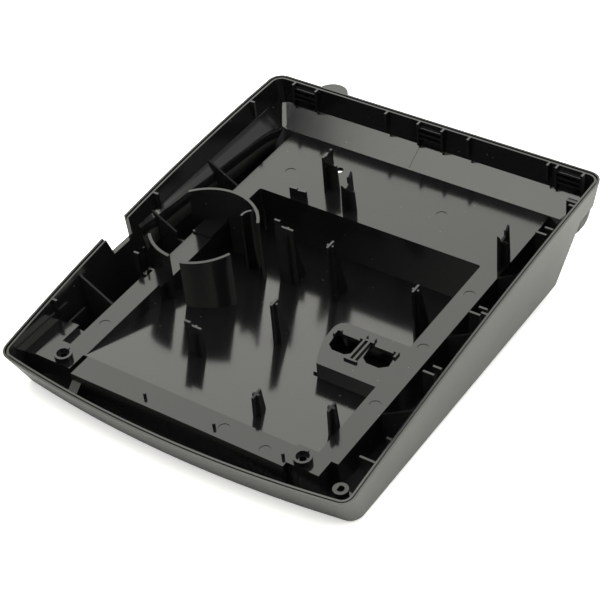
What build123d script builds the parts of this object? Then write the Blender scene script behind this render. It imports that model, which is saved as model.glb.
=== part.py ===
from build123d import *
import math
import os

# Desk-set base housing: one injection moulding, lying open side up.
# It is laid out in its mould frame: X across, Y to the rear, Z along the draw. Z = 0 is the ledge
# that frames the deep well, and Y = 0 is the rear edge of the well. The last step tips the moulding
# onto the two edges it stands on. Millimetres throughout.

# ---- walls and draft
WALL = 2.4                     # floors and inside walls
RIM_WALL = 2.8                 # outer walls, which carry the lap joint
RIB = 1.2                      # thin ribs, posts and gussets
DRAFT = 1.0                    # degrees, on walls inside the housing
EPS = 0.01                     # overlap that makes joined features share volume
FAR = 150.0                    # beyond every outer face, for cutting regions

# ---- outer walls. Their outline is set on a guide plane just above the rim, and they draw in
#      below it. The front wall is part of a wide cone.
GUIDE_Z = 22.1                 # height of the guide plane at Y = 0
GUIDE_SLOPE = 0.0639           # and its rise towards the rear
RIM_HALF = 103.1               # half width on the guide plane
RIM_REAR_Y = 69.8
RIM_FRONT_Y = -186.0           # middle of the bulging front wall
FRONT_RADIUS = 650.0           # of the front wall, seen from above
SIDE_DRAFT = 0.158             # mm inwards for each mm down
REAR_DRAFT = 0.15
FRONT_DRAFT = 0.39
FRONT_CORNER_R = 7.5           # upright corners
REAR_CORNER_R = 8.0
RIM_ARC = [(-200.0, 2.8), (-60.0, 19.5), (85.0, 22.0)]      # (Y, Z) along the rim in side view

# ---- underside: a plane that falls towards the rear
BASE_Z = -25.2                 # height at Y = 0
BASE_SLOPE = -0.0495
BASE_EDGE_R = 3.0              # rounding under the outer walls

# ---- rear tray and the sloped end of the lower body
TRAY_HALF = 88.0
TRAY_REAR_Y = 51.5
TRAY_SLOPE_REAR = 8.3 / 14.9   # rise over run of the step in front of the rear wall
TRAY_SLOPE_SIDE = 8.3 / 9.8
TRAY_VALLEY = 2.0              # chamfer where the rear and side slopes meet
BODY_END_LEAN = 0.525          # the end wall runs forward this much for each mm down
BODY_END_R = 14.0              # its upright corners
BODY_END_SPARE = 0.3           # keeps the end region clear of the side walls

# ---- ledge and well
LEDGE_HALF = 80.4
LEDGE_FRONT_Y = -164.4
LEDGE_LEFT_X = -66.8
LEDGE_RIGHT_X = 58.9
LEDGE_CORNER_Y = -151.0
WELL_HALF = 68.5
WELL_LENGTH = 150.7
WELL_DEPTH = 28.3              # at the rear; the floor rises to the ledge at the front
WELL_CORNER_R = 1.5

# ---- lap joint round the rim
LAP_LIP = 1.0
LAP_GROOVE = 0.8
LAP_DEPTH = 1.4
LAP_STEP = 0.4                 # inner lip below the outer one

# ---- cable notch in the left wall
NOTCH_Y = [-90.9, -87.8, -72.5, -71.2]
NOTCH_Z = 6.6

# ---- speaker ring on the left ledge
RING_X = -63.0
RING_Y = -57.5
RING_WALL = 1.6
RING_TOP = 18.6
RING_ARCS = [(29.0, 140.0, 29.2), (223.0, 268.0, 27.4), (284.0, 335.0, 29.6)]  # degrees, radius
SEAT_Y = [-90.0, -46.0, -31.0]
SEAT_DROP = [2.5, 1.2]         # lowered ledge under the speaker, front part and rear part

# ---- jack block
JACK_Y = [-100.2, -68.7]
JACK_X = 28.0
JACK_WINDOW_X = [31.4, 51.1]   # left edges of the two windows
JACK_WINDOW = [(0, 0), (14.3, 0), (15.5, -8.8), (11.8, -12.0), (4.6, -12.0), (1.2, -9.4)]
JACK_WINDOW_Y = -76.6
JACK_RIB_H = 1.3

# ---- screw bosses
BOSS_R = 4.6
BOSS_BORE_R = 1.75
BOSS_COUNTER_R = 3.3
BOSS_COUNTER_DEPTH = 2.2
BOSS_TOP = 3.2
BOSS_RECESS_R = 4.0            # screw head recess from below
BOSS_RECESS_TOP = -4.0
BOSS_1 = (-77.0, -157.2)
BOSS_2 = (65.2, -157.0)
STUD_AT = (86.0, -158.5)
STUD_R = 3.8
STUD_BORE_R = 1.9
STUD_TOP = -6.0

# ---- cross posts in the well: x, y and z of the head, length of the foot fin
POSTS = [
    (2.6, -38.2, 15.4, 14.0),
    (57.7, -46.0, 14.8, 14.0),
    (1.7, -87.2, 14.4, 11.5),
    (28.7, -141.8, 13.4, 8.0),
    (65.0, -132.8, 13.2, 7.5),
]
POST_HEAD = [-1.8, 4.3]        # fore-and-aft blade at the head, from y
POST_CROSS = 1.9               # half length of the cross blade
POST_STEP = 0.7                # cross blade lower than the fore-and-aft one

# ---- stepped posts in the well: left end of the cross blade, x and y of the fin, z, fin length
STEPPED_POSTS = [
    (-31.6, -24.0, -36.6, 15.2, 12.5),
    (-29.8, -23.6, -117.6, 12.2, 8.5),
]
STEPPED_PRONG = 3.4            # width of the raised end, and how far it stands up
STEPPED_END = 3.6              # cross blade to the right of the fin
STEPPED_STUB = [-2.1, -0.8, 3.8]   # low stub in front of the cross blade: from, to, drop

# ---- notched posts on the rear tray: x, front and rear y, heights of front horn, saddle, tower and
#      rear horn, end and height of the cross blade
TRAY_POSTS = [
    (-35.4, 14.6, 23.2, 24.6, 21.6, 22.4, 23.6, -29.4, 16.4),
    (-16.6, 3.6, 13.2, 17.8, 14.4, 19.4, 20.6, -11.8, 12.6),
    (78.0, 1.2, 11.8, 21.8, 16.6, 20.8, 21.8, 81.0, 15.5),
]
STOP_X = [-49.6, -39.0]        # low stop at the rear edge of the well
STOP_Y = 2.0
STOP_Z = 6.4

# ---- ribs across the side channels
GUSSET_Y = [-114.0, -54.0, -4.0]
GUSSET_RISE = 11.0

# ---- rear wall
SNAP_X = [-80.3, 1.0, 84.6]    # middles of the louvred snap pockets
SNAP_W = 15.0
SNAP_Z = [12.3, 15.6, 18.9]
WALL_RIB_X = [-27.0, 24.5, 72.0]
WALL_RIB_Y = [-135.3, -49.4, 39.6]
RIB_REACH = 5.9                # from the skin on the guide plane to the free edge of the side ribs
OVERRUN = 6.9                  # how far ribs are drawn past the skin before they are trimmed to it
EAR_X = -65.3
EAR_R = 9.4
EAR_Z = [9.0, 20.4]
TRAY_HOLE = (-38.9, 33.5)
TRAY_HOLE_R = 2.3

# ---- small marks and pins
PIN_X = [-24.3, 16.7, 55.9]
PIN_Y = -159.6
EJECTORS = [(74.3, -66.3), (74.7, -110.6), (74.5, -22.0), (-74.5, -128.0), (21.1, -157.8),
            (46.0, -160.0), (-62.0, 20.0), (30.0, 26.0)]
EJECTOR_R = 3.0
EJECTOR_DEPTH = 0.25

# ---- stance: the front edge of the underside and the rear bottom edge of the well
FOOT_FLAT = 0.25               # depth of the flats that the housing stands on
FOOT_MIDDLE = 1.2              # from the well's rear bottom edge to the middle of its flat


def tilted_plane(z_at_zero, slope):
    """Plane across the housing that rises towards the rear by `slope`."""
    return Plane(origin=(0, 0, z_at_zero), x_dir=(1, 0, 0), z_dir=(0, -slope, 1))


def side_x(y, z):
    """Half width across the outer walls at `y` and height `z`."""
    return RIM_HALF - SIDE_DRAFT * (GUIDE_Z + GUIDE_SLOPE * y - z)


def walled_body(inset):
    """Solid within the outer walls, `inset` inside their skin."""
    head = 10.0
    depth = 75.0
    half = RIM_HALF - inset
    rear = RIM_REAR_Y - inset
    long = 2 * FAR
    front_view = [(half + SIDE_DRAFT * head, head), (half - SIDE_DRAFT * depth, -depth),
                  (SIDE_DRAFT * depth - half, -depth), (-half - SIDE_DRAFT * head, head)]
    sides = extrude(Plane.XZ * make_face(Polyline(*front_view, close=True)), amount=long, both=True)
    side_view = [(-long, head), (rear + REAR_DRAFT * head, head), (rear - REAR_DRAFT * depth, -depth),
                 (-long, -depth)]
    back = profile_along_x(Polyline(*side_view, close=True), FAR)
    radius = FRONT_RADIUS - inset
    cone = Cone(radius - FRONT_DRAFT * depth, radius + FRONT_DRAFT * head, head + depth)
    cone = Pos(0, RIM_FRONT_Y + FRONT_RADIUS, (head - depth) / 2) * cone
    body = sides & back & cone
    upright = [edge for edge in body.edges() if edge.bounding_box().size.Z > depth]
    upright.sort(key=lambda edge: edge.center().Y)
    body = fillet(upright[:2], FRONT_CORNER_R - inset)
    upright = [edge for edge in body.edges()
               if edge.bounding_box().size.Z > depth and edge.center().Y > 0
               and edge.geom_type == GeomType.LINE and edge.bounding_box().size.X > 2]
    return tilted_plane(GUIDE_Z, GUIDE_SLOPE) * fillet(upright, REAR_CORNER_R - inset)


def profile_along_x(outline, half):
    """Side-view outline (Y, Z) carried across the housing."""
    face = Plane.YZ * make_face(outline)
    return extrude(face, amount=half, both=True)


def below_rim(drop):
    """Everything lower than the rim arc less `drop`."""
    front, middle, rear = [(y, z - drop) for y, z in RIM_ARC]
    arc = ThreePointArc(front, middle, rear)
    rest = Polyline(rear, (rear[0], -FAR), (front[0], -FAR), front)
    return profile_along_x([arc, rest], FAR)


def base_z(y):
    """Height of the underside plane at `y`."""
    return BASE_Z + BASE_SLOPE * y


def above_base(lift):
    """Everything higher than the underside plane raised by `lift`."""
    front = -2 * FAR
    points = [(front, base_z(front) + lift), (FAR, base_z(FAR) + lift), (FAR, FAR), (front, FAR)]
    return profile_along_x(Polyline(*points, close=True), FAR)


def end_region(skin):
    """In front of the sloped end of the lower body, whose upright corners are rounded."""
    top_y = TRAY_REAR_Y + (WALL - skin) * math.hypot(1, BODY_END_LEAN)
    reach = 50.0
    front = -2 * FAR
    faces = []
    for z in (-reach, reach):
        rear = top_y + BODY_END_LEAN * z
        wide = side_x(front, z) + BODY_END_SPARE - skin
        half = side_x(top_y, z) + BODY_END_SPARE - skin
        outline = [(-wide, front), (wide, front), (half, rear), (-half, rear)]
        face = make_face(Polyline(*outline, close=True))
        corners = face.vertices().sort_by(Axis.Y)[-2:]
        faces.append(Pos(0, 0, z) * fillet(corners, BODY_END_R - skin))
    return loft([face.face() for face in faces], ruled=True)


def lower_region(skin):
    """The lower body: in front of its sloped end and above the underside."""
    return above_base(skin) & end_region(skin)


def tray_region(skin):
    """Rear tray with sloped sides and rear, `skin` inside the outer surface."""
    gap = WALL - skin
    side_run = 1 / TRAY_SLOPE_SIDE
    rear_run = 1 / TRAY_SLOPE_REAR
    half = TRAY_HALF + gap * (math.hypot(1, side_run) - side_run)
    rear = TRAY_REAR_Y + gap * (math.hypot(1, rear_run) - rear_run)
    height = 40.0
    faces = []
    for rise in (0, height):
        wide = half + rise * side_run
        face = rectangle(-wide, wide, -FAR, rear + rise * rear_run)
        corners = face.vertices().sort_by(Axis.Y)[-2:]
        faces.append(Pos(0, 0, rise - gap) * chamfer(corners, TRAY_VALLEY))
    return loft([face.face() for face in faces], ruled=True)


def rectangle(x0, x1, y0, y1):
    """Flat rectangle from its limits."""
    return Pos((x0 + x1) / 2, (y0 + y1) / 2) * Rectangle(x1 - x0, y1 - y0)


def block(x0, x1, y0, y1, z0, z1):
    """Box from its limits."""
    return Pos((x0 + x1) / 2, (y0 + y1) / 2, (z0 + z1) / 2) * Box(x1 - x0, y1 - y0, z1 - z0)


def above(z):
    """Everything higher than `z`."""
    return block(-FAR, FAR, -1.5 * FAR, FAR, z, FAR)


def ledge_outline(inset):
    """Outer edge of the ledge, with its set-back front corners and the two boss blocks."""
    side = LEDGE_HALF - inset
    front = LEDGE_FRONT_Y + inset
    corner = LEDGE_CORNER_Y + inset
    left = LEDGE_LEFT_X + inset
    right = LEDGE_RIGHT_X - inset
    rear = FAR
    points = [(-side, rear), (-side, corner), (left, corner), (left, front),
              (right, front), (right, corner), (side, corner), (side, rear)]
    return make_face(Polyline(*points, close=True))


def ledge_core(inset):
    """Solid under the ledge, widening downwards by the draft."""
    return extrude(ledge_outline(inset), amount=-60, taper=-DRAFT)


def well_region(skin):
    """The wedge-shaped well; `skin` grows it to the outside of its walls."""
    face = rectangle(-WELL_HALF - skin, WELL_HALF + skin, -WELL_LENGTH - skin, skin)
    face = fillet(face.vertices(), WELL_CORNER_R + skin)
    deep = extrude(face, amount=-60, taper=DRAFT)
    fall = WELL_DEPTH / WELL_LENGTH
    drop = skin * math.hypot(1, fall)
    front = -WELL_LENGTH - 20
    floor = [(front, 20 * fall - drop), (20, -WELL_DEPTH - 20 * fall - drop), (20, 60), (front, 60)]
    return deep & profile_along_x(Polyline(*floor, close=True), FAR)


def outer_solid():
    """Outside skin of the housing as a filled solid."""
    skin = walled_body(0) & above_base(0)
    skin = fillet(skin.faces().sort_by(Axis.Z)[0].edges(), BASE_EDGE_R) & below_rim(0)
    body = skin & (lower_region(0) + tray_region(0))
    well = well_region(WALL) - above(0)
    return body + well


def inner_voids():
    """The spaces inside the housing, all open at the top."""
    inner = walled_body(RIM_WALL)
    top = inner & above(0) & (lower_region(WALL) + tray_region(WALL))
    channels = (inner & lower_region(WALL)) - ledge_core(0)
    return top + channels + well_region(0)


def under_void():
    """The open space under the ledge and the tray, outside the well."""
    space = ledge_core(WALL) & block(-FAR, FAR, -FAR * 1.5, FAR, -60, -WALL)
    return space - well_region(WALL)


def lap_groove():
    """Groove and lowered inner lip that the lid laps over."""
    past_lip = walled_body(LAP_LIP)
    past_groove = walled_body(LAP_LIP + LAP_GROOVE)
    groove = (past_lip - past_groove) - below_rim(LAP_DEPTH)
    step = past_groove - below_rim(LAP_STEP)
    return groove + step


def cable_notch():
    """Notch through the left wall, wider at the top."""
    front_top, front_low, rear_low, rear_top = NOTCH_Y
    points = [(front_top, FAR), (front_top, 19), (front_low, NOTCH_Z), (rear_low, NOTCH_Z),
              (rear_top, 21), (rear_top, FAR)]
    cut = profile_along_x(Polyline(*points, close=True), 10)
    return Pos(-RIM_HALF, 0, 0) * cut


def well_floor_z(y):
    """Height of the well floor at `y`."""
    return -WELL_DEPTH * (1 + y / WELL_LENGTH)


def blade_yz(points, x, thick):
    """Thin plate standing in the side-view plane at `x`."""
    return Pos(x, 0, 0) * profile_along_x(Polyline(*points, close=True), thick / 2)


def blade_xz(points, y, thick):
    """Thin plate standing across the housing at `y`."""
    face = Plane(origin=(0, y, 0), x_dir=(1, 0, 0), z_dir=(0, -1, 0)) * make_face(
        Polyline(*points, close=True))
    return extrude(face, amount=thick / 2, both=True)


def cross_post(x, y, head_z, fin):
    """Post of two crossed blades; the fore-and-aft one spreads rearwards to its foot."""
    front = y + POST_HEAD[0]
    back = y + POST_HEAD[1]
    rear = y + POST_HEAD[0] + fin
    sunk = WALL / 2
    fore_aft = [(front - 0.8, well_floor_z(front) - sunk), (front, head_z), (back, head_z),
                (rear, well_floor_z(rear) + 1.5), (rear, well_floor_z(rear) - sunk)]
    foot = well_floor_z(y) - sunk
    top = head_z - POST_STEP
    across = [(x - POST_CROSS - 0.3, foot), (x - POST_CROSS, top), (x + POST_CROSS, top),
              (x + POST_CROSS + 0.3, foot)]
    return blade_yz(fore_aft, x, RIB) + blade_xz(across, y + 1.2, RIB)


def stepped_post(left, x, y, top, fin):
    """Post whose cross blade has a raised left end, with a low stub in front and a fin behind."""
    foot = well_floor_z(y) - WALL / 2
    step = left + STEPPED_PRONG
    right = x + STEPPED_END
    across = [(left - 0.3, foot), (left, top + STEPPED_PRONG), (step, top + STEPPED_PRONG),
              (step + 0.3, top), (right, top), (right + 0.3, foot)]
    front, stub, drop = STEPPED_STUB
    rear = y + front + fin
    low = well_floor_z(rear)
    fore_aft = [(y + front - 0.6, foot), (y + front, top - drop), (y + stub, top - drop),
                (y, top), (y + 1.2, top), (rear, low + 1.5), (rear, low - WALL / 2)]
    return blade_xz(across, y, RIB) + blade_yz(fore_aft, x, RIB)


def tray_post(x, front, rear, front_z, saddle_z, tower_z, horn_z, cross_x, cross_z):
    """Cable post on the rear tray: a notched fore-and-aft blade and a lower cross blade."""
    sunk = -WALL / 2
    tower = rear - 3.6
    fore_aft = [(front - 0.6, sunk), (front, front_z), (front + 1.0, front_z - 1.6),
                (front + 2.6, saddle_z), (tower, saddle_z + 0.9), (tower, tower_z),
                (tower + 1.4, tower_z - 1.2), (rear, horn_z), (rear + 0.8, sunk)]
    across = [(x - 1.6, sunk), (x - 1.2, cross_z), (cross_x, cross_z), (cross_x + 0.6, sunk)]
    return blade_yz(fore_aft, x, RIB) + blade_xz(across, (front + rear) / 2 - 0.6, RIB)


def posts():
    """All standing posts, and the low stop at the rear edge of the well."""
    well = [cross_post(*row) for row in POSTS] + [stepped_post(*row) for row in STEPPED_POSTS]
    tray = [tray_post(*row) for row in TRAY_POSTS]
    x0, x1 = STOP_X
    middle = (x0 + x1) / 2
    stop = [(x0 - 0.2, -WALL / 2), (x0, STOP_Z), (middle - 0.8, STOP_Z + 0.4), (middle, STOP_Z - 0.3),
            (x1, STOP_Z + 0.4), (x1 + 0.2, -WALL / 2)]
    return well + tray + [blade_xz(stop, STOP_Y, RIB)]


def ring_arc(start, end, radius):
    """One arc of the speaker wall."""
    reach = radius * 1.6
    middle = (start + end) / 2
    tips = [(reach * math.cos(math.radians(a)), reach * math.sin(math.radians(a)))
            for a in (start, middle, end)]
    sector = make_face([Line((0, 0), tips[0]), ThreePointArc(*tips), Line(tips[2], (0, 0))])
    wall = Circle(radius + RING_WALL / 2) - Circle(radius - RING_WALL / 2)
    return extrude(Pos(RING_X, RING_Y, -60) * (wall & sector), amount=60 + RING_TOP)


def speaker_ring():
    """Split cylindrical wall that holds the speaker, with a small hook inside it."""
    ring = [ring_arc(*row) for row in RING_ARCS]
    hook = (Circle(6.6) - Circle(6.6 - RIB)) & rectangle(-8.6, 0, -1.2, 12)
    hook = extrude(Pos(RING_X + 18.6, RING_Y + 18.2, -60) * hook, amount=58 + RING_TOP)
    return (ring[0] + ring[1] + ring[2] + hook) & ring_ground()


def ring_ground():
    """Where the ring may stand: over the ledge and well floors, inside the outer walls."""
    return outer_solid() & walled_body(WALL / 2)


def speaker_seat():
    """Two-level recess in the left ledge under the speaker."""
    front, step, rear = SEAT_Y
    x0 = -LEDGE_HALF - 4
    x1 = -WELL_HALF + 4
    deep = block(x0, x1, front, step, -SEAT_DROP[0], 30)
    shallow = block(x0, x1, step - EPS, rear, -SEAT_DROP[1], 30)
    return deep + shallow


def ledge_patch():
    """Extra thickness under the ledge where the speaker seat is let into it."""
    front, _, rear = SEAT_Y
    return block(-LEDGE_HALF + WALL / 2, -WELL_HALF - WALL / 2, front - WALL, rear + WALL,
                 -SEAT_DROP[0] - WALL, -WALL + EPS)


def jack_outline(inset):
    """Outline of the jack block, joined to the right ledge."""
    front = JACK_Y[0] + inset
    rear = JACK_Y[1] - inset
    left = JACK_X + inset
    end = WELL_HALF + WALL / 2 - inset
    points = [(end, front), (left + 6.6, front), (left + 3.2, front + 7.5),
              (left + 0.6, front + 14.5), (left, rear - 8.0), (left, rear), (end, rear)]
    face = make_face(Polyline(*points, close=True))
    corner = face.vertices().sort_by_distance((left, rear))[0]
    return fillet(corner, 6.0 - inset)


def jack_block():
    """Raised block for two cord jacks, with the guide ribs on its top."""
    body = extrude(jack_outline(0), amount=-60, taper=-DRAFT)
    body = body & well_region(WALL / 2)
    middle = JACK_WINDOW_X[0] + (JACK_WINDOW_X[1] - JACK_WINDOW_X[0] + JACK_WINDOW[1][0]) / 2
    rails = [block(middle + dx, middle + dx + RIB, -90.5, -76.0, -EPS, JACK_RIB_H)
             for dx in (-1.9, 0.9)]
    front = block(middle - 3.6, middle + 3.6, -91.6, -90.4, -EPS, JACK_RIB_H)
    rear = block(middle - 4.0, middle + 4.0, -76.2, -75.0, -EPS, JACK_RIB_H)
    ears = [block(middle + dx, middle + dx + RIB, -76.2, -72.4, -EPS, JACK_RIB_H) for dx in (-2.6, 2.2)]
    hooks = []
    for x, sign in ((JACK_WINDOW_X[0], 1), (WELL_HALF - 2.4, -1)):
        hooks.append(block(x - 0.6, x + 0.6, -79.6, -75.4, -EPS, JACK_RIB_H))
        hooks.append(block(min(x, x + sign * 2.4), max(x, x + sign * 2.4), -76.4, -75.2, -EPS, JACK_RIB_H))
    for piece in rails + [front, rear] + ears + hooks:
        body = body + piece
    return body


def jack_cavity():
    """Hollow under the jack block and the two windows through its top."""
    hollow = extrude(Pos(0, 0, -WALL) * jack_outline(WALL), amount=-60, taper=-DRAFT)
    hollow = hollow & block(0, WELL_HALF - WALL / 2, *JACK_Y, -60, 0)
    for x in JACK_WINDOW_X:
        points = [(x + dx, JACK_WINDOW_Y + dy) for dx, dy in JACK_WINDOW]
        window = extrude(make_face(Polyline(*points, close=True)), amount=-6)
        hollow = hollow + window
    return hollow


def boss_blocks():
    """Two blocks that carry the screw bosses, and the web beside the left one."""
    left = block(-91.5, -69.6, -162.0, -135.0, -60, 0)
    right = block(57.5, 76.6, -161.5, -149.0, -60, 0)
    web = [(-91.0, -0.3), (-FAR, -5.0), (-FAR, -60), (-91.0, -60)]
    web = extrude(Plane(origin=(0, -136.0, 0), x_dir=(1, 0, 0), z_dir=(0, -1, 0)) * make_face(
        Polyline(*web, close=True)), amount=RIB * 22)
    rail = block(-92.2, -92.2 + RIB, -135.5, -122.7, -60, 0)
    pocket = block(-85.6, -LEDGE_HALF, -148.0, -130.0, -3.0, 30)
    return (left + right + web + rail) - pocket


def block_hollow():
    """Core that keeps the left boss block to an even wall."""
    return block(-88.6, -71.9, -151.0, -137.4, -60, -WALL - 3.0)


def boss(at, top, foot):
    return Pos(at[0], at[1], (top + foot) / 2) * Cylinder(BOSS_R, top - foot)


def boss_cut(at):
    """Screw bore and counterbore, with the key slit towards the rear."""
    x, y = at
    bore = Pos(x, y, 0) * Cylinder(BOSS_BORE_R, 2 * FAR)
    counter = Pos(x, y, BOSS_TOP - BOSS_COUNTER_DEPTH + 10) * Cylinder(BOSS_COUNTER_R, 20)
    slit = block(x + 0.6, x + 1.4, y, y + BOSS_R + 1, BOSS_TOP - BOSS_COUNTER_DEPTH, FAR)
    recess = Pos(x, y, BOSS_RECESS_TOP - 20) * Cylinder(BOSS_RECESS_R, 40)
    return bore + counter + slit + recess


def stud():
    """Short locating stud on the channel floor in the front right corner."""
    x, y = STUD_AT
    body = Pos(x, y, STUD_TOP - 15) * Cylinder(STUD_R, 30)
    skirt = Pos(x, y, STUD_TOP - 6 - 12) * Cylinder(STUD_R + 1.4, 24)
    return body + skirt


def stud_cut():
    x, y = STUD_AT
    bore = Pos(x, y, STUD_TOP) * Cylinder(STUD_BORE_R, 2 * 5.0)
    return bore & block(x - 1.3, x + 5, y - 5, y + 5, -60, 60)


def gussets():
    """Sloped ribs from the ledge up to the side walls."""
    out = []
    wall_x = RIM_HALF
    for y in GUSSET_Y:
        rise = GUSSET_RISE * (wall_x - LEDGE_HALF) / 18.0
        points = [(LEDGE_HALF - 0.6, -0.5), (wall_x, rise), (wall_x, -60), (LEDGE_HALF - 0.6, -60)]
        mirrored = [(-x, z) for x, z in points]
        out.append(blade_xz(mirrored, y, RIB))
        out.append(blade_xz(points, y, RIB))
    return out


def hooks():
    """Short cable hooks standing in the side channels."""
    out = []
    for x, y, top in ((-84.5, -85.0, 10.5), (91.0, -88.5, 10.0), (90.4, -44.0, 12.0),
                      (87.4, 28.6, 8.0)):
        across = [(x - 3.4, -60), (x - 3.0, top), (x + 3.0, top), (x + 3.4, -60)]
        behind = [(x - 0.6, -60), (x - 0.2, top + 0.6), (x + 4.4, top + 0.6), (x + 4.8, -60)]
        out.append(blade_xz(across, y, RIB))
        out.append(blade_xz(behind, y + 4.6, RIB))
        out.append(blade_yz([(y, -60), (y, top - 3), (y + 4.6, top - 3), (y + 4.6, -60)], x + 1.6, RIB))
    return out


def corner_ribs():
    """Upright rib at the rear end of the right channel, and the front right gusset."""
    rear = block(88.6, FAR, 53.4, 56.0, -6.0, 12.2)
    gusset = [(86.2, 0.3), (FAR, 0.3), (FAR, -60), (88.5, -60), (88.5, -12)]
    return [rear, blade_xz(gusset, -142.0, RIB)]


def wall_ribs():
    """Short upright ribs inside the rear and side walls."""
    out = []
    for x in WALL_RIB_X:
        out.append(block(x - RIB / 2, x + RIB / 2, 63.5, 75.0, 11.5, 40))
    for y in WALL_RIB_Y:
        for sign in (-1, 1):
            x0, x1 = sorted((sign * (RIM_HALF - RIB_REACH), sign * (RIM_HALF + OVERRUN)))
            out.append(block(x0, x1, y - RIB / 2, y + RIB / 2, rim_z(y) - 10.5, 40))
    return out


def rim_z(y):
    """Height of the rim arc at `y`, from the parabola through its three points."""
    (y0, z0), (y1, z1), (y2, z2) = RIM_ARC
    a = (y - y1) * (y - y2) / ((y0 - y1) * (y0 - y2))
    b = (y - y0) * (y - y2) / ((y1 - y0) * (y1 - y2))
    c = (y - y0) * (y - y1) / ((y2 - y0) * (y2 - y1))
    return a * z0 + b * z1 + c * z2


def snap_pockets():
    """Louvred snap pockets on the rear wall: two uprights and three bars each."""
    out = []
    for x in SNAP_X:
        for side in (-1, 1):
            edge = x + side * SNAP_W / 2
            out.append(block(edge - RIB / 2, edge + RIB / 2, 63.4, 75.0, 8.0, 40))
        for z in SNAP_Z:
            out.append(block(x - SNAP_W / 2, x + SNAP_W / 2, 63.8, 75.0, z, z + 1.1))
    return out


def snap_pads():
    """Shallow pads let into the tray slope in front of the snap pockets."""
    lean = math.degrees(math.atan(TRAY_SLOPE_REAR))
    length = 14.9 / math.cos(math.radians(lean))
    pads = []
    for x in SNAP_X[:2]:
        pad = Box(SNAP_W - 1.0, length - 1.6, 2 * EJECTOR_DEPTH)
        pads.append(Pos(x, TRAY_REAR_Y + 7.45, 4.15) * Rot(lean, 0, 0) * pad)
    return pads


def pins():
    """Three locating pins on the front strip."""
    return [Pos(x, PIN_Y, 1.2) * Cylinder(0.8, 3.4) for x in PIN_X]


def front_tie():
    """Small stepped block tying the front strip to the channel floor."""
    ramp = [(LEDGE_FRONT_Y + 1, -3.5), (LEDGE_FRONT_Y, -3.8), (-171.0, -9.0), (-171.0, -60),
            (LEDGE_FRONT_Y + 1, -60)]
    return blade_yz(ramp, -63.6, 5.4)


def strip_slot():
    """Slot between the left boss block and the front strip."""
    return block(-69.6, -68.2, -166, LEDGE_CORNER_Y, -2.0, 30)


def ejector_marks():
    return [Pos(x, y, 0) * Cylinder(EJECTOR_R, 2 * EJECTOR_DEPTH) for x, y in EJECTORS]


def ear():
    """Half-round lug behind the rear wall, blended down to it."""
    z0, z1 = EAR_Z
    return Pos(EAR_X, RIM_REAR_Y - 1.5, (z0 + z1) / 2) * Cylinder(EAR_R, z1 - z0)


def standing_up(body):
    """Tip the moulding onto its two resting edges and trim both to flats at Z = 0."""
    fall = WELL_DEPTH / WELL_LENGTH
    rear_y = WALL - WELL_DEPTH * math.tan(math.radians(DRAFT))
    rear_z = well_floor_z(rear_y) - WALL * math.hypot(1, fall)
    height = GUIDE_Z - BASE_Z + (GUIDE_SLOPE - BASE_SLOPE) * RIM_FRONT_Y
    front_y = RIM_FRONT_Y + FRONT_DRAFT * height + BASE_EDGE_R
    tip = math.degrees(math.atan2(base_z(front_y) - rear_z, rear_y - front_y))
    body = Rot(tip, 0, 0) * (Pos(0, -rear_y, -rear_z) * body)
    table = block(-FAR, FAR, -2 * FAR, FAR, -FAR, 0)
    return Pos(0, FOOT_MIDDLE, -FOOT_FLAT) * body - table


def housing():
    """The whole moulding in its mould frame."""
    skin = outer_solid()
    voids = inner_voids()
    inside = skin & walled_body(RIM_WALL / 2)
    body = skin - voids - under_void()
    body = body + (ledge_patch() & skin)
    body = body + jack_block() + (boss_blocks() & inside)
    standing = posts() + gussets() + hooks() + corner_ribs() + wall_ribs() + snap_pockets()
    standing = standing + [front_tie(), stud(), boss(BOSS_1, BOSS_TOP, -12), boss(BOSS_2, BOSS_TOP, -12)]
    for piece in standing:
        body = body + (piece & inside)
    body = body - speaker_seat()
    body = body + (speaker_ring() - (under_void() - above(0)))
    body = body + (ear() - skin)
    for piece in pins():
        body = body + piece
    cuts = [lap_groove(), cable_notch(), jack_cavity(), block_hollow(), strip_slot(), stud_cut(),
            boss_cut(BOSS_1), boss_cut(BOSS_2), Pos(*TRAY_HOLE, 0) * Cylinder(TRAY_HOLE_R, 20)]
    for cut in cuts + snap_pads() + ejector_marks():
        body = body - cut
    return body


os.makedirs("parts", exist_ok=True)
export_step(standing_up(housing()), "parts/housing.step")
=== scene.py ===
"""Looks of the desk-set base housing: one black moulding on a white studio floor."""
import math

import bpy
from mathutils import Euler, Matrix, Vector


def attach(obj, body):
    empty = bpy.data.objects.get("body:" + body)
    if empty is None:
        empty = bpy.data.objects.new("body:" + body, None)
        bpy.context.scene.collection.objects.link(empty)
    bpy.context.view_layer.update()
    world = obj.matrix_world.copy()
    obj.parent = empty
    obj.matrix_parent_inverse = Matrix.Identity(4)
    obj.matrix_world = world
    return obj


MM = 0.001

# ---- the moulding's own frame, in mm, tipped onto its resting edges
TIP = math.radians(4.72955)
FOOT = Vector((0, 1.90602, -31.09988))
FOOT_PLACE = Vector((0, 1.2, -0.25))

# ---- where the textured outside begins, as (none, all), in mm
SIDE_SKIN_X = (92, 93)
FRONT_SKIN_Y = (166.5, 167.5)
REAR_SKIN_Y = (62, 63)
LUG_Y = (72, 73)
RIGHT_SKIN = (94.742, 0.023089, -0.156629)     # right wall: x + b y + c z = a
LIP_AND_PAINTED_GROOVE_DEPTH = (2.1, 1.9)         # lip and groove of the right rim, below that skin; the lip is textured outer skin, the polished groove takes the paler outside colour as painted light over its shade
FACING = (0.15, 0.3)           # how far a wall's face looks outwards
FACING_DOWN = (0.05, 0.2)

# ---- colours of the plastic
INSIDE_BLACK = (0.0035, 0.0035, 0.0038, 1)
# the outside colour also lies on the right rim's polished groove, as painted light that lifts the
# groove's shade
OUTSIDE_AND_PAINTED_GROOVE_BLACK = (0.030, 0.031, 0.028, 1)
DUST = (0.16, 0.16, 0.15, 1)

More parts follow.
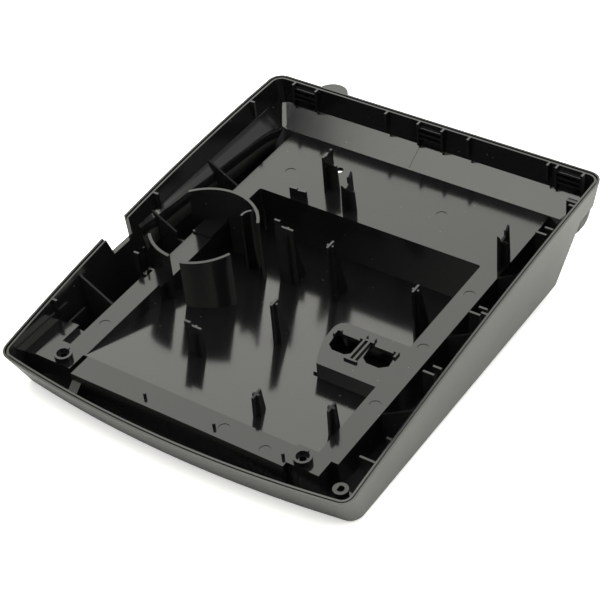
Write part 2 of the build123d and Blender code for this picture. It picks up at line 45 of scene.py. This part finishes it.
# ---- sloped shoulders inside the side walls, in mm of the moulding's own frame
SLOPE_RISE = 0.847             # rise over run at the shoulder's lower edge
SLOPE_FOOT_X = 88.0            # where that slope meets the ledge plane
SLOPE_LIFT = 0.12              # drawn this far above it
SLOPE_SHARE = 0.62             # part of the width where the slope holds before it steepens
EDGE_X = 93.85                 # lower edge at y = 0
EDGE_TAPER = -0.061
EDGE_BEND = (34.0, 0.0075)     # from this y on the edge curves inwards to the valley
VALLEY = ((88.4, 50.5, 0.7), (97.6, 65.0, 9.3))    # meets the rear slope: bottom and top
TOP_Z = 11.0
TOP_FALL = (50.5, 0.117)       # from this y on the top edge falls to the valley's top
SHOULDER_Y = (48.5, 46.0, 42.0, 36.0, 30.0, 10.0, -10.0, -30.0, -50.0, -66.0)
SKIRT = 14.0                   # drop of the face under the lower edge
SKIRT_OUT = 0.4
WALL_BITE = 0.25               # top edge sunk into the wall
WALL_CLEAR = 0.6               # skirt kept off the wall
SHEET = 1.2                    # thickness of the shoulders and the jack floor

# ---- floor of the well under the jack block
JACK_X = (67.0, 31.0)
JACK_Y = (-98.6, -71.4)
WELL_DEPTH = 28.3
WELL_LENGTH = 150.7            # from the well's rear edge to where its floor would come up

# ---- lamps: name, place, target, size, power
WARM = (1.0, 0.995, 0.92)
LAMPS = [
    ("softbox", (-1.3, 1.55, 1.75), (0, -0.05, 0.02), (2.3, 1.9), 29),
    ("top", (0.05, -0.35, 2.3), (0, -0.15, 0), (2.8, 2.4), 82),
    ("side", (1.6, 1.55, 1.7), (0, 0, 0.03), (1.4, 1.2), 2.6),
    ("right", (1.5, 0.5, 1.0), (0.1, 0.0, 0.02), (1.0, 1.0), 10),
]

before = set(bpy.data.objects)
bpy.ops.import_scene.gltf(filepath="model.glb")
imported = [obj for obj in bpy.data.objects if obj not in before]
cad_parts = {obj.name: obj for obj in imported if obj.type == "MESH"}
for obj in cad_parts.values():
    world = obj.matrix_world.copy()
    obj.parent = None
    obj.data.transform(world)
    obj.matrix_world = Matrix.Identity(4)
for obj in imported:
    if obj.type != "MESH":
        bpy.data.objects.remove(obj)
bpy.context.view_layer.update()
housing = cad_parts["housing"]


# ---------------------------------------------------------------- materials
class Graph:
    """Short names for building a node tree."""

    def __init__(self, tree):
        self.tree = tree
        tree.nodes.clear()

    def node(self, kind, inputs=None, **settings):
        made = self.tree.nodes.new("ShaderNode" + kind)
        for key, value in settings.items():
            setattr(made, key, value)
        for key, value in (inputs or {}).items():
            self.put(made.inputs[key], value)
        return made

    def put(self, socket, value):
        if isinstance(value, bpy.types.NodeSocket):
            self.tree.links.new(value, socket)
        else:
            socket.default_value = value

    def math(self, operation, *values):
        made = self.node("Math", operation=operation)
        for socket, value in zip(made.inputs, values):
            self.put(socket, value)
        return made.outputs[0]

    def over(self, value, limits, unit=1.0):
        """0 below the first limit, 1 above the second, smooth between."""
        low, high = (limit * unit for limit in limits)
        made = self.node("MapRange", {"Value": value, "From Min": low, "From Max": high},
                         interpolation_type="SMOOTHSTEP")
        return made.outputs["Result"]

    def noise(self, vector, scale, detail=2.0, roughness=0.5):
        made = self.node("TexNoise", {"Vector": vector, "Scale": scale, "Detail": detail,
                                      "Roughness": roughness})
        return made.outputs["Fac"]

    def mix(self, factor, low, high):
        """Number between `low` and `high`."""
        made = self.node("MapRange", {"Value": factor, "To Min": low, "To Max": high})
        return made.outputs["Result"]

    def blend(self, factor, low, high):
        """Colour between `low` and `high`."""
        made = self.node("Mix", {0: factor, 6: low, 7: high}, data_type="RGBA")
        return made.outputs[2]


def outside_and_painted_groove_mask(g, place, normal):
    """1 on the textured outer skin and on the right rim's polished groove, where the paler outside
    colour is painted light over the groove's shade; 0 on the polished inside.
    """
    x, y, z = place
    nx, ny, nz = normal
    outward = g.math("MULTIPLY", nx, g.math("SIGN", x))
    side = g.math("MULTIPLY", g.over(g.math("ABSOLUTE", x), SIDE_SKIN_X, MM),
                  g.over(outward, FACING))
    front = g.math("MULTIPLY", g.over(g.math("MULTIPLY", y, -1.0), FRONT_SKIN_Y, MM),
                   g.over(g.math("MULTIPLY", ny, -1.0), FACING))
    rear = g.math("MULTIPLY", g.over(y, REAR_SKIN_Y, MM), g.over(ny, FACING))
    lug = g.over(y, LUG_Y, MM)

    skin_x, along_y, along_z = RIGHT_SKIN
    lean = g.math("ADD", g.math("MULTIPLY", y, along_y), g.math("MULTIPLY", z, along_z))
    # lip and polished groove of the right rim: the groove gets the paler outside colour, painted
    # light over its shade
    lip_and_painted_groove = g.over(g.math("ADD", x, lean), [skin_x - depth for depth in LIP_AND_PAINTED_GROOVE_DEPTH], MM)
    under = g.over(g.math("MULTIPLY", nz, -1.0), FACING_DOWN)

    mask = side
    for other in (front, rear, lug, lip_and_painted_groove, under):
        mask = g.math("MAXIMUM", mask, other)
    return mask


def black_plastic():
    """Black moulded plastic: polished inside, spark-textured outside, with the right rim's
    polished groove given the outside colour as painted light.
    """
    material = bpy.data.materials.new("black_plastic")
    material.use_nodes = True
    g = Graph(material.node_tree)
    spot = g.node("TexCoord").outputs["Object"]
    place = g.node("SeparateXYZ", {0: spot}).outputs
    normal = g.node("SeparateXYZ", {0: g.node("NewGeometry").outputs["Normal"]}).outputs
    skin_and_painted_groove = outside_and_painted_groove_mask(g, place, normal)

    cloudy = g.noise(spot, 45.0, 3.0)
    grain = g.noise(spot, 2600.0, 2.0, 0.6)
    fine = g.noise(spot, 900.0, 3.0)
    polish = g.math("ADD", g.mix(cloudy, 0.08, 0.15), g.mix(fine, -0.02, 0.04))
    texture = g.math("ADD", g.mix(cloudy, 0.42, 0.50), g.mix(grain, -0.04, 0.06))
    rough = g.node("Mix", {0: skin_and_painted_groove, 2: polish, 3: texture}, data_type="FLOAT").outputs[0]

    specks = g.node("TexVoronoi", {"Vector": spot, "Scale": 130.0}).outputs["Distance"]
    dust = g.math("SUBTRACT", 1.0, g.over(specks, (0.028, 0.05)))
    # the paler outside colour on the right rim's groove is painted light over its shade
    shade = g.blend(skin_and_painted_groove, INSIDE_BLACK, OUTSIDE_AND_PAINTED_GROOVE_BLACK)
    tone = g.blend(g.math("MULTIPLY", dust, 0.35), shade, DUST)

    wave = g.node("Bump", {"Strength": 0.25, "Distance": 0.06 * MM,
                           "Height": g.noise(spot, 38.0, 2.0)}).outputs[0]
    bump = g.node("Bump", {"Strength": 0.55, "Distance": 0.05 * MM,
                           "Height": g.math("MULTIPLY", grain, skin_and_painted_groove), "Normal": wave}).outputs[0]
    shader = g.node("BsdfPrincipled", {"Base Color": tone, "Roughness": rough, "Normal": bump,
                                       "IOR": 1.52})
    g.node("OutputMaterial", {"Surface": shader.outputs[0]})
    return material


def white_ground(name, lift):
    """White that keeps shadows, and that the camera sees brighter."""
    material = bpy.data.materials.new(name)
    material.use_nodes = True
    g = Graph(material.node_tree)
    diffuse = g.node("BsdfDiffuse", {"Color": (0.86, 0.86, 0.86, 1)})
    glow = g.node("Emission", {"Color": (1, 1, 1, 1), "Strength": lift})
    dark = g.node("Emission", {"Color": (0, 0, 0, 1), "Strength": 0.0})
    seen = g.node("LightPath").outputs["Is Camera Ray"]
    extra = g.node("MixShader", {0: seen, 1: dark.outputs[0], 2: glow.outputs[0]})
    both = g.node("AddShader", {0: diffuse.outputs[0], 1: extra.outputs[0]})
    g.node("OutputMaterial", {"Surface": both.outputs[0]})
    return material


# ---------------------------------------------------------------- pieces
def tipped(x, y, z):
    """Point of the moulding's own frame, in mm, as a place in metres."""
    turned = Vector((x, y, z)) - FOOT
    turned.rotate(Euler((TIP, 0, 0)))
    return (turned + FOOT_PLACE) * MM


def sheet(name, rows, smooth):
    """Sheet of plastic through rows of points, with its thickness behind it."""
    mesh = bpy.data.meshes.new(name)
    count = len(rows[0])
    points = [tipped(*p) for row in rows for p in row]
    faces = []
    for i in range(len(rows) - 1):
        for j in range(count - 1):
            a = i * count + j
            faces.append((a, a + 1, a + count + 1, a + count))
    mesh.from_pydata(points, [], faces)
    for face in mesh.polygons:
        face.use_smooth = smooth
    made = bpy.data.objects.new(name, mesh)
    bpy.context.scene.collection.objects.link(made)
    made.data.materials.append(plastic)
    solid = made.modifiers.new("thickness", "SOLIDIFY")
    solid.thickness = SHEET * MM
    solid.offset = -1.0
    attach(made, "root")
    return made


def inner_wall(y, z):
    """Half width between the insides of the side walls."""
    return 100.3 - 0.158 * (22.1 + 0.0639 * y - z)


def shoulder_edge():
    """Points along the shoulder's lower edge, from the valley's top to the cord notch."""
    bottom, top = VALLEY
    points = [tuple(a + (b - a) * t for a, b in zip(bottom, top))
              for t in (1.0, 0.75, 0.5, 0.25, 0.0)]
    bend_y, bend = EDGE_BEND
    for y in SHOULDER_Y:
        x = EDGE_X + EDGE_TAPER * y - bend * max(0.0, y - bend_y) ** 2
        points.append((x, y, SLOPE_RISE * (x - SLOPE_FOOT_X) + SLOPE_LIFT))
    return points


def wall_shoulder(name, side):
    """Sloped shoulder inside the skirt, which narrows to nothing at the cord notch."""
    fall_y, fall = TOP_FALL
    rows = []
    for x, y, z in shoulder_edge():
        top = TOP_Z - max(0.0, y - fall_y) * fall
        wall = inner_wall(y, top) + WALL_BITE
        run = SLOPE_SHARE * (wall - x)
        curve = ((x, z), (x + run, z + run * SLOPE_RISE), (wall, top))
        foot_z = z - SKIRT
        row = [(min(x + SKIRT_OUT, inner_wall(y, foot_z) - WALL_CLEAR), foot_z)]
        for step in range(13):
            t = step / 12
            row.append(tuple((1 - t) ** 2 * a + 2 * t * (1 - t) * b + t * t * c
                             for a, b, c in zip(*curve)))
        rows.append([(side * u, y, v) for u, v in row])
    if side > 0:
        rows.reverse()
    return sheet(name, rows, smooth=True)


def jack_floor():
    """Floor of the well where it closes the jack block from below."""
    rows = [[(x, y, -WELL_DEPTH * (1 + y / WELL_LENGTH)) for x in JACK_X] for y in JACK_Y]
    return sheet("jack_floor", rows, smooth=False)


# ---------------------------------------------------------------- studio
def stage():
    """Floor plane."""
    bpy.ops.mesh.primitive_plane_add(size=12, location=(0, 0, -0.0002))
    floor = bpy.context.object
    floor.name = "floor"
    floor.data.materials.append(white_ground("floor_white", 0.35))


def area(name, place, target, size, power):
    """Area lamp at `place` that faces `target`."""
    data = bpy.data.lights.new(name, "AREA")
    data.shape = "RECTANGLE"
    data.size, data.size_y = size
    data.energy = power
    data.color = WARM
    lamp = bpy.data.objects.new(name, data)
    lamp.location = place
    lamp.rotation_euler = (Vector(target) - Vector(place)).to_track_quat("-Z", "Y").to_euler()
    bpy.context.scene.collection.objects.link(lamp)


def lights():
    """Soft boxes at the rear left and overhead, two weak ones at the right, a pale surround."""
    for lamp in LAMPS:
        area(*lamp)
    world = bpy.data.worlds.new("studio")
    bpy.context.scene.world = world
    world.use_nodes = True
    g = Graph(world.node_tree)
    rays = g.node("LightPath").outputs
    shown = g.node("Background", {"Color": (1, 1, 1, 1), "Strength": 1.0})
    fill = g.node("Background", {"Color": (1, 1, 0.96, 1), "Strength": 0.95})
    dim = g.node("Background", {"Color": (0.94, 0.97, 1, 1), "Strength": 0.35})
    unseen = g.node("MixShader", {0: rays["Is Glossy Ray"], 1: fill.outputs[0], 2: dim.outputs[0]})
    mixed = g.node("MixShader", {0: rays["Is Camera Ray"], 1: unseen.outputs[0],
                                 2: shown.outputs[0]})
    g.node("OutputWorld", {"Surface": mixed.outputs[0]})


def camera():
    """Long lens from the front right, looking down on the open side."""
    data = bpy.data.cameras.new("camera")
    data.lens = 107.1
    data.sensor_width = 36.0
    data.clip_end = 50.0
    cam = bpy.data.objects.new("camera", data)
    cam.location = (0.4190, -0.64558, 0.56946)
    cam.rotation_euler = tuple(math.radians(a) for a in (52.559, 2.177, 34.202))
    bpy.context.scene.collection.objects.link(cam)
    bpy.context.scene.camera = cam


plastic = black_plastic()
for slot in housing.material_slots:
    slot.material = plastic
wall_shoulder("left_shoulder", -1)
wall_shoulder("right_shoulder", 1)
jack_floor()
stage()
lights()
camera()
bpy.context.scene.view_settings.view_transform = "Standard"
